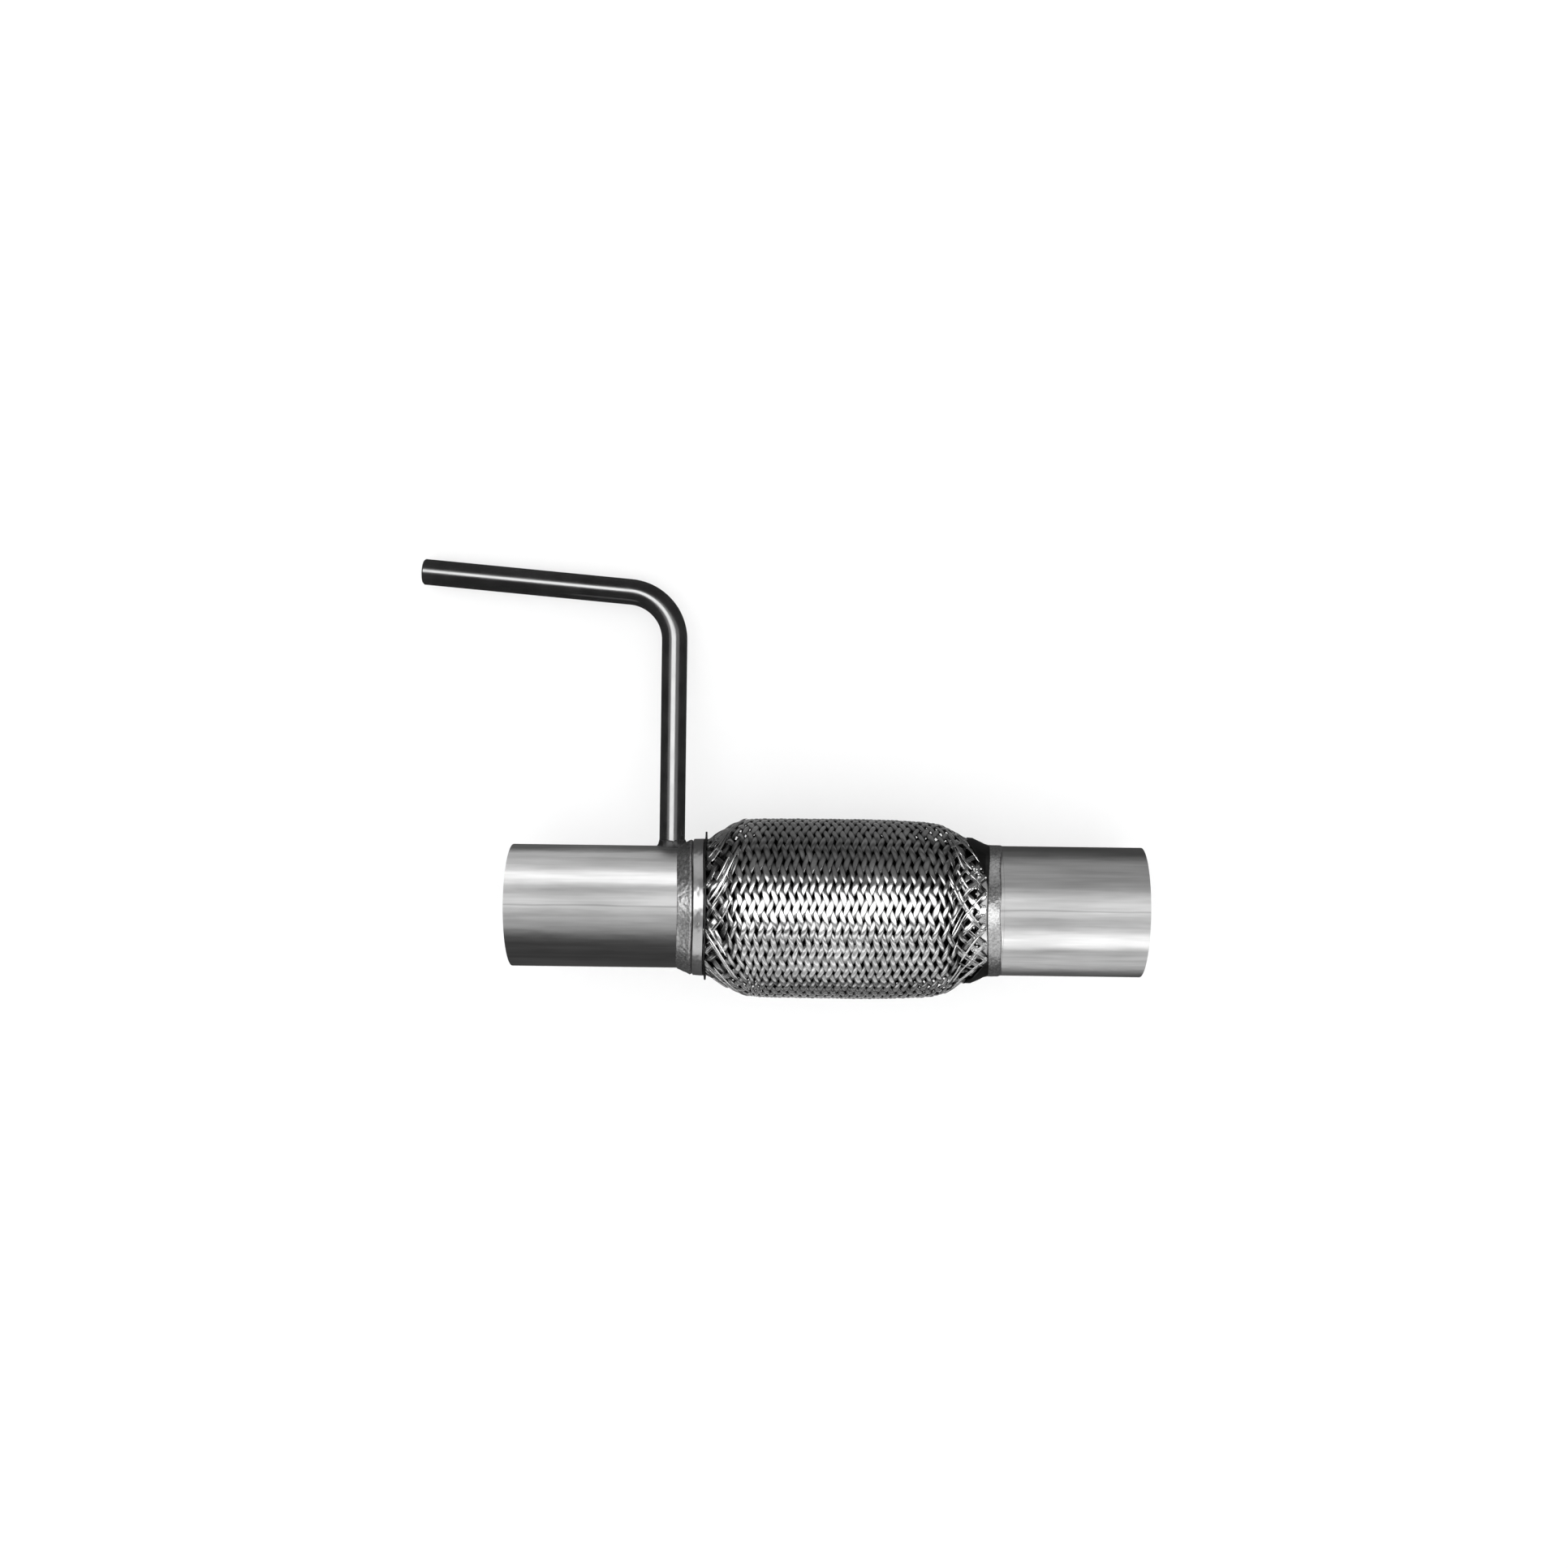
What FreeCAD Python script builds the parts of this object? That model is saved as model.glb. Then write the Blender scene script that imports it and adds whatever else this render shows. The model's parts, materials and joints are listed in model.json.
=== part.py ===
import FreeCAD, Part
import math
import os
from FreeCAD import Vector

# Exhaust flex pipe: two plain tube ends, a braided bellows section between them,
# and a bent hanger rod on the inlet tube. All sizes are in millimetres.
# The pipe's axis is X, from the inlet mouth at the origin to the outlet mouth.

# Tube ends
inlet_diameter = 50.8
outlet_diameter = 54.0
tube_wall = 1.5
inlet_mouth_to_cap = 74.6
outlet_mouth_to_cap = 63.5
tube_insertion = 12.0
weld_step = 0.3

# Flexible section, between the outer ends of the two caps
flex_length = 123.0
braid_diameter = 75.2
braid_wall = 1.0
inlet_shoulder = 21.0
outlet_shoulder = 20.0
seat_gap = 0.05

# Braid weave: the count of bands that wind each way, and the depth of the hollow between them
band_count = 16
band_angle = 70.4
weave_depth = 0.6
gap_rings = 4
gap_share_of_pit = 0.45

# Bellows inside the braid
bellows_wall = 0.4
bellows_pitch = 7.2
bellows_root_rise = 1.3

# Interlocked liner inside the bellows
liner_wall = 0.4
liner_pitch = 8.0
liner_lap = 0.4
liner_wound_depth = 1.4

# Caps pressed over the ends of the braid
cap_wall = 1.0
inlet_cap_length = 5.8
inlet_lip_height = 0.4
outlet_cap_length = 3.4
outlet_lip_height = 0.6
cap_lip_width = 0.8
outlet_cap_taper = 6.2
outlet_cap_edge = 0.7

# Weld beads
inlet_weld_width = 6.2
inlet_weld_height = 2.8
outlet_weld_width = 4.6
outlet_weld_height = 0.3
bead_crest_share = 0.6
ripple_depth = 0.15

# Hanger rod: a leg that stands on the inlet tube, and an arm that ends past its mouth
rod_diameter = 10.6
rod_leg_from_mouth = 65.8
rod_corner_height = 129.5
rod_arm_length = 105.2
rod_arm_slope = 4.85
rod_bend_radius = 20.0
rod_end_chamfer = 0.6
hanger_weld_spread = 3.0
hanger_weld_height = 4.2
hanger_weld_crown = 0.4

# Flat sides of the rings and of the hanger weld
hose_sides = 20
cap_sides = 48
weld_sides = 36
hanger_weld_sides = 12

# The braid's inner wall turns at these shares of each shoulder
shoulder_turns = (0.4, 1.0)

# Corners nearer than this to one plane make one flat face, in cubic millimetres
flatness = 1e-7

# Derived sizes
inlet_radius = inlet_diameter / 2
outlet_radius = outlet_diameter / 2
braid_radius = braid_diameter / 2
rod_radius = rod_diameter / 2
inlet_cap_end = inlet_mouth_to_cap
outlet_cap_end = inlet_cap_end + flex_length
outlet_mouth = outlet_cap_end + outlet_mouth_to_cap
rows = 2 * band_count
braid_flat = math.cos(math.pi / rows)
hose_flat = math.cos(math.pi / hose_sides)
cap_flat = math.cos(math.pi / cap_sides)
weld_flat = math.cos(math.pi / weld_sides)
arm_slope = math.radians(rod_arm_slope)
arm_end_reach = rod_corner_height + rod_arm_length * math.sin(arm_slope)

# At rest the part lies on the braid and on the end of the rod's arm
rest_tilt = math.degrees(math.asin((braid_radius - rod_radius) / arm_end_reach))

axis_start = Vector(0, 0, 0)
axis_direction = Vector(1, 0, 0)


def neck_radii(tube_radius):
    """Inner radii, at the corners, of the layers that lie on each other over a tube's inner end."""
    liner = (tube_radius + seat_gap) / hose_flat
    bellows = liner + liner_wall + seat_gap
    braid = (bellows + bellows_wall + seat_gap) / braid_flat
    cap = (braid + braid_wall + seat_gap) / cap_flat
    return {"liner": liner, "bellows": bellows, "braid": braid, "cap": cap}


inlet_neck = neck_radii(inlet_radius)
outlet_neck = neck_radii(outlet_radius - weld_step)
narrow_neck, wide_neck = sorted((inlet_neck, outlet_neck), key=lambda neck: neck["liner"])

# Stations along the axis: where the layers end under the caps, and where the necks end
inlet_layers_end = inlet_cap_end + cap_wall + seat_gap
outlet_layers_end = outlet_cap_end - outlet_cap_taper - seat_gap
inlet_neck_end = inlet_cap_end + inlet_cap_length + seat_gap
outlet_neck_end = outlet_layers_end - outlet_cap_length
inlet_shoulder_end = inlet_neck_end + inlet_shoulder
outlet_shoulder_end = outlet_neck_end - outlet_shoulder


def around(x, radius, turns):
    """The point at a distance along the axis, a radius and a share of a full turn."""
    angle = 2 * math.pi * turns
    return Vector(x, radius * math.cos(angle), radius * math.sin(angle))


def turned(outline):
    """A ring with a closed outline of (x, radius) points, turned about the pipe's axis."""
    points = [Vector(x, radius, 0) for x, radius in outline]
    wire = Part.makePolygon(points + points[:1])
    return Part.Face(wire).revolve(axis_start, axis_direction, 360)


def flat_face(points):
    return Part.Face(Part.makePolygon(points + points[:1]))


def pierced_face(outline, holes):
    wires = [Part.makePolygon(points + points[:1]) for points in [outline] + holes]
    return Part.makeFace(wires, "Part::FaceMakerBullseye")


def patch(a, b, c, d):
    """Four corners as one flat face, or as two that meet on the higher diagonal."""
    if abs((b - a).cross(c - a).dot(d - a)) < flatness:
        return [flat_face([a, b, c, d])]
    height = [math.hypot(point.y, point.z) for point in (a, b, c, d)]
    if height[0] + height[2] > height[1] + height[3]:
        return [flat_face([a, b, c]), flat_face([a, c, d])]
    return [flat_face([a, b, d]), flat_face([b, c, d])]


def solid_of(faces):
    shell = Part.makeShell(faces)
    shell.sewShape()
    solid = Part.makeSolid(shell)
    if solid.Volume < 0:
        shell.reverse()
        solid = Part.makeSolid(shell)
    return solid


def flat_sided_ring(outline, sides, ripple=0.0):
    """A ring like a turned one but with flat sides, which keeps thin folded walls light.

    A ripple lowers every second corner of the points that are marked with True.
    """

    def corner(point, side):
        x, radius = point[:2]
        drop = ripple if len(point) > 2 and side % 2 else 0
        return around(x, radius - drop, side / sides)

    faces = []
    for start, end in zip(outline, outline[1:] + outline[:1]):
        low = [corner(start, side) for side in range(sides)]
        high = [corner(end, side) for side in range(sides)]
        if start[0] == end[0]:
            wider, narrower = (low, high) if start[1] > end[1] else (high, low)
            faces.append(pierced_face(wider, [narrower]))
            continue
        for side in range(sides):
            following = (side + 1) % sides
            faces += patch(low[side], low[following], high[following], high[side])
    return solid_of(faces)


def tube(mouth, inner_end, radius, step_at=None):
    """A tube end. Past step_at, under its weld, it is sized down to enter the neck."""
    bore = radius - tube_wall
    if step_at is None:
        return turned([(mouth, bore), (mouth, radius), (inner_end, radius), (inner_end, bore)])
    small = radius - weld_step
    return turned(
        [
            (mouth, bore),
            (mouth, radius),
            (step_at, radius),
            (step_at, small),
            (inner_end, small),
            (inner_end, bore),
        ]
    )


def inlet_cap():
    """A cup with a flat end wall, and a small lip at its open edge."""
    inner = inlet_neck["cap"]
    outer = inner + cap_wall
    open_edge = inlet_cap_end + inlet_cap_length
    hole = (inlet_radius + seat_gap) / cap_flat
    outline = [
        (inlet_cap_end, hole),
        (inlet_cap_end, outer),
        (open_edge - cap_lip_width, outer),
        (open_edge - cap_lip_width, outer + inlet_lip_height),
        (open_edge, outer + inlet_lip_height),
        (open_edge, inner),
        (inlet_cap_end + cap_wall, inner),
        (inlet_cap_end + cap_wall, hole),
    ]
    return flat_sided_ring(outline, cap_sides)


def outlet_cap():
    """A cup whose end tapers down to the tube, and a wider lip at its open edge."""
    inner = outlet_neck["cap"]
    outer = inner + cap_wall
    open_edge = outlet_neck_end
    shoulder = outlet_layers_end + seat_gap
    hole = (outlet_radius - weld_step + seat_gap) / cap_flat
    outline = [
        (outlet_cap_end, hole),
        (outlet_cap_end, hole + outlet_cap_edge),
        (shoulder, outer),
        (open_edge + cap_lip_width, outer),
        (open_edge + cap_lip_width, outer + outlet_lip_height),
        (open_edge, outer + outlet_lip_height),
        (open_edge, inner),
        (shoulder, inner),
        (shoulder, hole),
    ]
    return flat_sided_ring(outline, cap_sides)


def inlet_weld():
    """A fillet bead between the inlet tube and its cap's end wall, notched for the hanger weld."""
    foot = inlet_radius / weld_flat
    toe = inlet_cap_end - inlet_weld_width
    crest = inlet_cap_end - inlet_weld_width * bead_crest_share
    bead = [
        (toe, foot),
        (crest, foot + inlet_weld_height * bead_crest_share, True),
        (inlet_cap_end, foot + inlet_weld_height),
        (inlet_cap_end, foot),
    ]
    return flat_sided_ring(bead, weld_sides, ripple_depth).cut(leaned(hanger_weld_blank()))


def outlet_weld():
    """A low bead that covers the step where the outlet tube enters its cap."""
    foot = (outlet_radius - weld_step) / weld_flat
    top = outlet_radius + outlet_weld_height
    toe = outlet_cap_end + outlet_weld_width
    bead = [
        (outlet_cap_end, foot),
        (outlet_cap_end, top),
        (outlet_cap_end + outlet_weld_width * bead_crest_share, top, True),
        (toe, outlet_radius),
        (toe, foot),
    ]
    return flat_sided_ring(bead, weld_sides, ripple_depth)


def braid_crest(x):
    """Outer radius of the braid: straight in the middle, rounded down to each neck."""
    start = inlet_neck["braid"] + braid_wall
    end = outlet_neck["braid"] + braid_wall
    if x <= inlet_neck_end:
        return start
    if x >= outlet_neck_end:
        return end
    if x < inlet_shoulder_end:
        share = (x - inlet_neck_end) / inlet_shoulder
        return start + (braid_radius - start) * math.sin(share * math.pi / 2)
    if x > outlet_shoulder_end:
        share = (outlet_neck_end - x) / outlet_shoulder
        return end + (braid_radius - end) * math.sin(share * math.pi / 2)
    return braid_radius


def braid_sleeve():
    """The woven sleeve: crossing ridges, pits between them, and some pits that open through.

    Corners of the lattice are crossings and pits in turn, as on a chessboard. The
    ridges run along the diagonals, which is how the bands wind both ways. The inner
    side is plain, with its corners halfway between the rows, so a gap lies in one flat.
    """
    length = outlet_neck_end - inlet_neck_end
    crossing_step = 2 * math.pi * braid_radius / rows / math.tan(math.radians(band_angle))
    steps = 2 * round(length / crossing_step / 2)

    def station(step):
        return inlet_neck_end + length * step / steps

    def is_pit(row, step):
        return (row + step) % 2 == 1 and 0 < step < steps

    def corner(row, step):
        depth = weave_depth if is_pit(row, step) else 0
        return around(station(step), braid_crest(station(step)) - depth, row / rows)

    # The gaps lie in a few rings, evenly spread over the straight stretch
    first = math.ceil(inlet_shoulder / length * steps) + 1
    last = math.floor((length - outlet_shoulder) / length * steps) - 1
    spacing = 2 * ((last - first) // (gap_rings - 1) // 2)
    spare = last - first - spacing * (gap_rings - 1)
    gap_steps = [first + spare // 2 + spacing * ring for ring in range(gap_rings)]

    def is_gap(row, step):
        return step in gap_steps and is_pit(row, step)

    def mouth_of(row, step):
        """The four corners of a gap on the outside, part of the way up the pit's sides."""
        pit = corner(row, step)
        rim = [
            corner(row, step - 1),
            corner(row + 1, step),
            corner(row, step + 1),
            corner(row - 1, step),
        ]
        return [pit + (point - pit) * gap_share_of_pit for point in rim], rim

    def inner_corner(row, x):
        return around(x, braid_crest(x) - braid_wall, (row + 0.5) / rows)

    stations = [inlet_layers_end, inlet_neck_end]
    stations += [inlet_neck_end + inlet_shoulder * turn for turn in shoulder_turns]
    stations += [outlet_neck_end - outlet_shoulder * turn for turn in reversed(shoulder_turns)]
    stations += [outlet_neck_end, outlet_layers_end]

    def drilled(point, row):
        """The point of the inner flat straight below a point of a gap's mouth."""
        middle = around(0, 1, row / rows)
        flat_distance = (braid_radius - braid_wall) * braid_flat
        return point + middle * (flat_distance - point.dot(middle))

    faces = []
    for step in range(steps):
        for row in range(rows):
            corners = [(row, step), (row + 1, step), (row + 1, step + 1), (row, step + 1)]
            if any(is_gap(at % rows, along) for at, along in corners):
                for index, (at, along) in enumerate(corners):
                    if is_pit(at, along) and not is_gap(at % rows, along):
                        neighbours = [corners[index - 1], corners[(index + 1) % 4]]
                        faces.append(flat_face([corner(at, along)] + [corner(*c) for c in neighbours]))
                continue
            faces += patch(*[corner(*c) for c in corners])

    holes_in = {row: [] for row in range(rows)}
    for step in gap_steps:
        for row in range(rows):
            if not is_gap(row, step):
                continue
            mouth, rim = mouth_of(row, step)
            floor = [drilled(point, row) for point in mouth]
            holes_in[row].append(floor)
            for side in range(4):
                after = (side + 1) % 4
                faces.append(flat_face([rim[side], rim[after], mouth[after], mouth[side]]))
                faces.append(flat_face([mouth[side], mouth[after], floor[after], floor[side]]))

    for start, end in zip(stations, stations[1:]):
        for row in range(rows):
            outline = [
                inner_corner(row - 1, start),
                inner_corner(row, start),
                inner_corner(row, end),
                inner_corner(row - 1, end),
            ]
            if start == inlet_shoulder_end and holes_in[row]:
                faces.append(pierced_face(outline, holes_in[row]))
            else:
                faces.append(flat_face(outline))

    for neck_end, layers_end, step in (
        (inlet_neck_end, inlet_layers_end, 0),
        (outlet_neck_end, outlet_layers_end, steps),
    ):
        edge = [around(layers_end, braid_crest(layers_end), row / rows) for row in range(rows)]
        for row in range(rows):
            after = (row + 1) % rows
            faces += patch(corner(row, step), corner(after, step), edge[after], edge[row])
        faces.append(pierced_face(edge, [[inner_corner(row, layers_end) for row in range(rows)]]))
    return solid_of(faces)


def bellows():
    """A thin wall in round folds, with a plain neck at each end."""
    root = wide_neck["bellows"] + bellows_root_rise
    crest = (braid_radius - braid_wall) * braid_flat - seat_gap - bellows_wall
    length = outlet_shoulder_end - inlet_shoulder_end
    folds = int(length // bellows_pitch)
    pitch = length / folds
    inside = [
        (inlet_layers_end, inlet_neck["bellows"]),
        (inlet_cap_end + tube_insertion, inlet_neck["bellows"]),
        (inlet_shoulder_end, root),
    ]
    for fold in range(folds):
        start = inlet_shoulder_end + fold * pitch
        inside += [(start + pitch / 2, crest), (start + pitch, root)]
    inside += [
        (outlet_cap_end - tube_insertion, outlet_neck["bellows"]),
        (outlet_layers_end, outlet_neck["bellows"]),
    ]
    outside = [(x, radius + bellows_wall) for x, radius in reversed(inside)]
    return flat_sided_ring(inside + outside, hose_sides)


def interlock_liner():
    """A strip-wound hose: each turn laps over the next, which shows as steps in its bore."""
    start = inlet_cap_end + tube_insertion + seat_gap
    end = outlet_cap_end - tube_insertion - seat_gap
    inlet_bore = inlet_neck["liner"]
    outlet_bore = outlet_neck["liner"]
    bore = narrow_neck["liner"]
    turns = int((end - start) // liner_pitch)
    pitch = (end - start) / (turns + 1)
    inside = [(inlet_layers_end, inlet_bore), (start, inlet_bore)]
    for turn in range(1, turns + 1):
        at = start + turn * pitch
        inside += [(at, bore + liner_lap), (at, bore)]
    inside += [(end, outlet_bore), (outlet_layers_end, outlet_bore)]
    outside = [
        (outlet_layers_end, outlet_bore + liner_wall),
        (end, outlet_bore + liner_wall),
        (end - pitch, bore + liner_wound_depth),
        (start + pitch, bore + liner_wound_depth),
        (start, inlet_bore + liner_wall),
        (inlet_layers_end, inlet_bore + liner_wall),
    ]
    return flat_sided_ring(inside + outside, hose_sides)


def leaned(shape):
    """The rod's plane leans down from the horizontal until the arm's end is as low as the braid."""
    shape.rotate(axis_start, axis_direction, -rest_tilt)
    return shape


def inlet_tube_core():
    """The inlet tube's outside as a solid bar, which copes what sits on the tube."""
    length = inlet_cap_end + tube_insertion
    return Part.makeCylinder(inlet_radius, length, axis_start, axis_direction)


def rod_leg(length):
    """The straight foot end of the rod, in the rod's plane before it leans."""
    foot = Vector(rod_leg_from_mouth, 0, 0)
    return Part.makeCylinder(rod_radius, length, foot, Vector(0, 1, 0))


def hanger_rod():
    """A round bar bent once, with its foot coped to sit on the inlet tube."""
    up = Vector(0, 1, 0)
    along = Vector(-math.cos(arm_slope), math.sin(arm_slope), 0)
    corner = Vector(rod_leg_from_mouth, rod_corner_height, 0)
    turn = math.acos(up.dot(along))
    tangent = rod_bend_radius * math.tan(turn / 2)
    leg_end = corner - up * tangent
    bend_centre = leg_end - Vector(rod_bend_radius, 0, 0)
    disc = Part.Face(Part.Wire(Part.makeCircle(rod_radius, leg_end, up)))
    bend = disc.revolve(bend_centre, Vector(0, 0, 1), math.degrees(turn))
    arm = Part.makeCylinder(rod_radius, rod_arm_length - tangent, corner + along * tangent, along)
    arm_end = corner + along * rod_arm_length
    end_edge = [edge for edge in arm.Edges if (edge.CenterOfMass - arm_end).Length < rod_radius / 2]
    arm = arm.makeChamfer(rod_end_chamfer, end_edge)
    rod = rod_leg(leg_end.y).fuse([bend, arm]).removeSplitter()
    return leaned(rod.cut(inlet_tube_core()))


def hanger_weld_blank():
    """The outer form of the weld at the rod's foot: a cone with flat sides, reaching into the tube."""
    foot = Vector(rod_leg_from_mouth, 0, 0)

    def collar(height, radius):
        points = []
        for side in range(hanger_weld_sides):
            angle = 2 * math.pi * side / hanger_weld_sides
            offset = Vector(radius * math.cos(angle), height, radius * math.sin(angle))
            points.append(foot + offset)
        return Part.makePolygon(points + points[:1])

    low = collar(inlet_radius - hanger_weld_spread, rod_radius + hanger_weld_spread)
    high = collar(inlet_radius + hanger_weld_height, rod_radius + hanger_weld_crown)
    return Part.makeLoft([low, high], True, True)


def hanger_weld():
    """A rough fillet around the rod's foot, on the tube and over the edge of the neck's weld."""
    bar = rod_leg(inlet_radius + hanger_weld_height + rod_diameter)
    return leaned(hanger_weld_blank().cut([inlet_tube_core(), bar]))


nodes = {
    "inlet_pipe": tube(0, inlet_cap_end + tube_insertion, inlet_radius),
    "outlet_pipe": tube(
        outlet_mouth,
        outlet_cap_end - tube_insertion,
        outlet_radius,
        outlet_cap_end + outlet_weld_width,
    ),
    "inlet_cap": inlet_cap(),
    "outlet_cap": outlet_cap(),
    "braid_sleeve": braid_sleeve(),
    "bellows": bellows(),
    "interlock_liner": interlock_liner(),
    "inlet_weld": inlet_weld(),
    "outlet_weld": outlet_weld(),
    "hanger_rod": hanger_rod(),
    "hanger_weld": hanger_weld(),
}

os.makedirs("parts", exist_ok=True)
for name, shape in nodes.items():
    shape.exportStep(f"parts/{name}.step")
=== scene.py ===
import bpy
import json
import math
import numpy as np
from mathutils import Matrix, Vector

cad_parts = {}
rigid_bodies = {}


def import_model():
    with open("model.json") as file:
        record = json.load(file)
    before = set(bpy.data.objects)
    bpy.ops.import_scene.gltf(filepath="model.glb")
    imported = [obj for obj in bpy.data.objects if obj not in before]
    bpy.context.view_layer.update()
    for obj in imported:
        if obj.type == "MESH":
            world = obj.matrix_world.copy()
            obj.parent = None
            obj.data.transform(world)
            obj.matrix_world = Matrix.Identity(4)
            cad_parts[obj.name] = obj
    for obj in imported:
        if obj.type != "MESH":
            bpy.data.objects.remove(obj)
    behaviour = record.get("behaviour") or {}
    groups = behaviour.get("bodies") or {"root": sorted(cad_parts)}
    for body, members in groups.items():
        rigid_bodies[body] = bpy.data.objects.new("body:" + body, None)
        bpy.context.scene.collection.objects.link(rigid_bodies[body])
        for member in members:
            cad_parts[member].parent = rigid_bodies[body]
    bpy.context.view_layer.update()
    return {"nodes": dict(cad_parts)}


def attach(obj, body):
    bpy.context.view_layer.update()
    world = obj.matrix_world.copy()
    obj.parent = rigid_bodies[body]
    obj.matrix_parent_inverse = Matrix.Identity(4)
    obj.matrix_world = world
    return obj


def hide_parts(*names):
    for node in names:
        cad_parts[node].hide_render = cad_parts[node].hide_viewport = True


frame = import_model()
nodes = frame["nodes"]

# Lengths are in millimetres, unless a comment says metres. A station is a distance along the pipe's axis from
# the inlet's open end, mostly called x. A turn is an angle round the axis, from facing towards upward.
MM = 0.001
FULL_TURN = 2 * math.pi

# The plane of the hanger rod leans down from the horizontal by this angle. The camera looks square at it.
LEAN = math.radians(13.497)
facing = Vector((0, math.sin(LEAN), math.cos(LEAN)))
upward = Vector((0, math.cos(LEAN), -math.sin(LEAN)))


def at(x, radius, turn):
    """Points in metres from a station, a radius and a turn."""
    x, radius, turn = np.broadcast_arrays(x, radius, turn)
    return np.stack([x, radius * np.sin(turn + LEAN), radius * np.cos(turn + LEAN)], -1) * MM


def round_turns(count):
    """Evenly spaced turns once round the axis."""
    return np.arange(count) / count * FULL_TURN


def smooth(values, low, high):
    """0 below low, 1 above high, and an even curve between them."""
    share = np.clip((np.asarray(values, float) - low) / (high - low), 0, 1)
    return share * share * (3 - 2 * share)


def waves(seed, count, turns_high, rate_high):
    """A smooth random field over the turn and the station, periodic round the axis, about -1 to 1."""
    rng = np.random.default_rng(seed)
    turns = rng.integers(-turns_high, turns_high + 1, count)
    rates = rng.uniform(-rate_high, rate_high, count)
    phases = rng.uniform(0, FULL_TURN, count)
    sizes = rng.uniform(0.5, 1.0, count)
    sizes /= math.sqrt((sizes**2).sum())

    def field(turn, x):
        turn, x = np.broadcast_arrays(turn, x)
        total = np.zeros(turn.shape)
        for number, rate, phase, size in zip(turns, rates, phases, sizes):
            total += size * np.sin(number * turn + rate * x + phase)
        return total

    return field


def make_mesh(name, points, faces, material, replaces=()):
    """A smooth piece of the object from points in metres. All its faces have the same number of corners."""
    points = np.asarray(points, np.float32).reshape(-1, 3)
    faces = np.asarray(faces, np.int32)
    mesh = bpy.data.meshes.new(name)
    mesh.vertices.add(len(points))
    mesh.vertices.foreach_set("co", points.ravel())
    mesh.loops.add(faces.size)
    mesh.loops.foreach_set("vertex_index", faces.ravel())
    mesh.polygons.add(len(faces))
    mesh.polygons.foreach_set("loop_start", np.arange(len(faces), dtype=np.int32) * faces.shape[1])
    mesh.polygons.foreach_set("use_smooth", np.ones(len(faces), bool))
    mesh.update(calc_edges=True)
    mesh.materials.append(material)
    piece = bpy.data.objects.new(name, mesh)
    bpy.context.scene.collection.objects.link(piece)
    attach(piece, "root")
    if replaces:
        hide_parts(*replaces)
    return piece


def grid_faces(rows, columns, wrap_rows, wrap_columns):
    """Quads over a grid of points. Their normals point along (column step) x (row step)."""
    row = np.arange(rows if wrap_rows else rows - 1)[:, None]
    column = np.arange(columns if wrap_columns else columns - 1)[None, :]
    next_row, next_column = (row + 1) % rows, (column + 1) % columns
    corners = [row * columns + column, row * columns + next_column]
    corners += [next_row * columns + next_column, next_row * columns + column]
    shape = (row.shape[0], column.shape[1])
    return np.stack([np.broadcast_to(corner, shape) for corner in corners], -1).reshape(-1, 4)


def divided(outline, step):
    """A closed outline of (station, radius) points, cut into runs no longer than the step."""
    points = np.array(outline + outline[:1], float)
    runs = []
    for start, end in zip(points[:-1], points[1:]):
        count = max(1, int(math.ceil(np.hypot(*(end - start)) / step)))
        runs.append(start + (end - start) * (np.arange(count) / count)[:, None])
    return np.concatenate(runs)


def soften(outline, passes):
    """A closed outline whose corners each pass rounds off a little."""
    for _ in range(passes):
        outline = outline * 0.5 + (np.roll(outline, 1, 0) + np.roll(outline, -1, 0)) * 0.25
    return outline


def turned(name, outline, sides, material, replaces, step, passes, shape=None):
    """A ring with a closed outline. The shape function may move its points, by station, radius and turn."""
    outline = soften(divided(outline, step), passes)
    x = np.repeat(outline[None, :, 0], sides, 0)
    radius = np.repeat(outline[None, :, 1], sides, 0)
    turn = np.repeat(round_turns(sides)[:, None], len(outline), 1)
    if shape:
        x, radius = shape(x, radius, turn)
    x_after, radius_after = np.roll(outline, -1, 0).T
    winding = np.sum(outline[:, 0] * radius_after - x_after * outline[:, 1])
    faces = grid_faces(sides, len(outline), True, True)
    if winding > 0:
        faces = faces[:, ::-1]
    make_mesh(name, at(x, radius, turn), faces, material, replaces)


# Materials. The spans are the parts of a noise's range that a ramp reads. A narrow one gives more contrast.

WIDE_SPAN, MIDDLE_SPAN, NARROW_SPAN = (0.25, 0.75), (0.3, 0.7), (0.35, 0.65)
EVEN = (1, 1, 1)
# Painted shade on the braid: its grey starts to darken at the first depth below the weave's outside, in
# millimetres, and is nearly black from the second
PAINTED_SHADE_DEPTHS = (0.16, 0.52)
SEAM_WOBBLE = 0.0004  # metres
SEAM_EDGES = (0.00015, 0.0005)  # metres from the middle of the seam
SWELL_HEIGHT = 0.00028  # metres


def new_material(name):
    material = bpy.data.materials.new(name)
    material.use_nodes = True
    tree = material.node_tree
    shader = tree.nodes["Principled BSDF"]
    return material, tree, shader


def node(tree, kind, **settings):
    made = tree.nodes.new(kind)
    for key, value in settings.items():
        setattr(made, key, value)
    return made


def ramp(tree, source, span, result):
    """Maps the source's span evenly onto the result's two values and stops at both."""
    made = node(tree, "ShaderNodeMapRange", clamp=True)
    for socket, value in zip(("From Min", "From Max", "To Min", "To Max"), (*span, *result)):
        made.inputs[socket].default_value = value
    tree.links.new(source, made.inputs["Value"])
    return made.outputs["Result"]


def math_node(tree, operation, first, second):
    made = node(tree, "ShaderNodeMath", operation=operation)
    for socket, value in zip(made.inputs, (first, second)):
        if isinstance(value, (int, float)):
            socket.default_value = value
        else:
            tree.links.new(value, socket)
    return made.outputs[0]


def multiply(tree, first, second):
    return math_node(tree, "MULTIPLY", first, second)


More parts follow.
